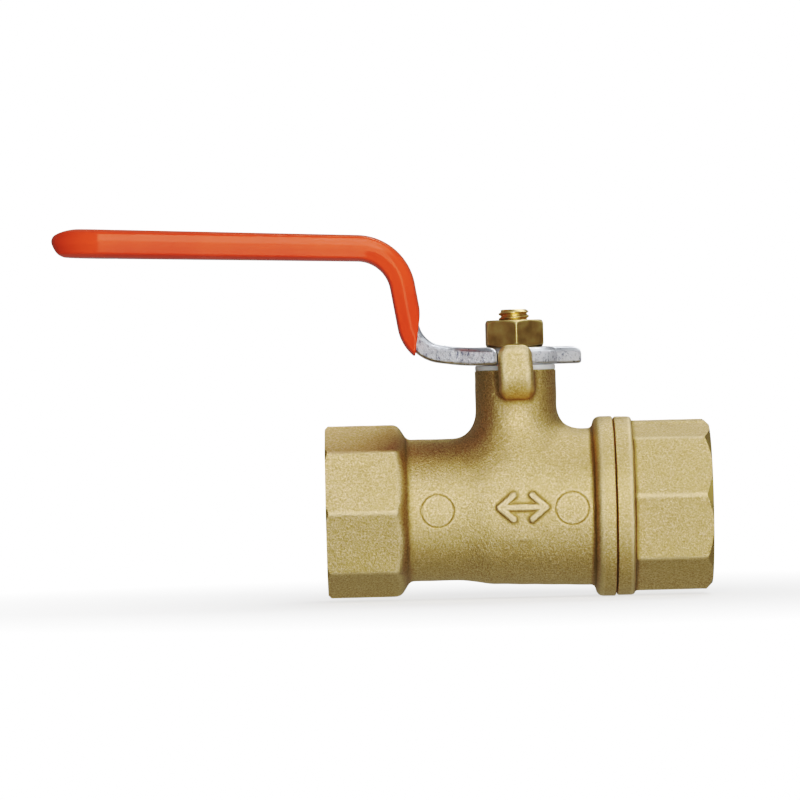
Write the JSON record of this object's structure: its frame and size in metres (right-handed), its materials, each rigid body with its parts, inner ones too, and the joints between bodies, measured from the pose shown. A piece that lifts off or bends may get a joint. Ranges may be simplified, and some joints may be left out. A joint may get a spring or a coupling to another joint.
{
  "type": "ball valve",
  "caption": "Two-piece forged brass ball valve with female pipe threads, octagonal wrench ends and a sleeved lever that turns a quarter turn.",
  "frame": {"origin": "centre of the ball, where the flow axis and the stem axis cross", "axes": "+X is the flow axis towards the end cap, +Z is the stem axis towards the lever nut, and the lever points along -X with the valve open"},
  "size_m": [0.1051, 0.0288, 0.061],
  "materials": {
    "forged_brass": "sandblasted",
    "turned_brass": "turned bright",
    "nut_brass": "drawn and tumbled",
    "zinc_plated_steel": "zinc plated, mottled",
    "red_vinyl": "glossy dip coat",
    "chromed_ball": "polished",
    "ptfe": "waxy matte",
    "grey_nylon": "matte",
    "black_rubber": "matte"
  },
  "bodies": {
    "housing": {"valve_body": "forged_brass", "end_cap": "forged_brass", "seat_ring_inlet": "ptfe", "seat_ring_outlet": "ptfe", "thrust_washer": "ptfe", "neck_washer": "grey_nylon"},
    "lever_and_stem": {"stem": "turned_brass", "stem_o_ring_lower": "black_rubber", "stem_o_ring_upper": "black_rubber", "lever": "zinc_plated_steel", "lever_sleeve": "red_vinyl", "lever_nut": "nut_brass"},
    "ball": {"ball": "chromed_ball"}
  },
  "joints": [
    {"name": "lever_turn", "type": "hinge", "parent": "housing", "child": "lever_and_stem", "pos_m": [0, 0, 0.02], "axis": [0, 0, -1], "range_deg": [0, 90]},
    {"name": "ball_turn", "type": "hinge", "parent": "housing", "child": "ball", "pos_m": [0, 0, 0], "axis": [0, 0, -1], "range_deg": [0, 90]}
  ],
  "couplings": [
    {"joint": "ball_turn", "follows": "lever_turn", "ratio": 1}
  ]
}
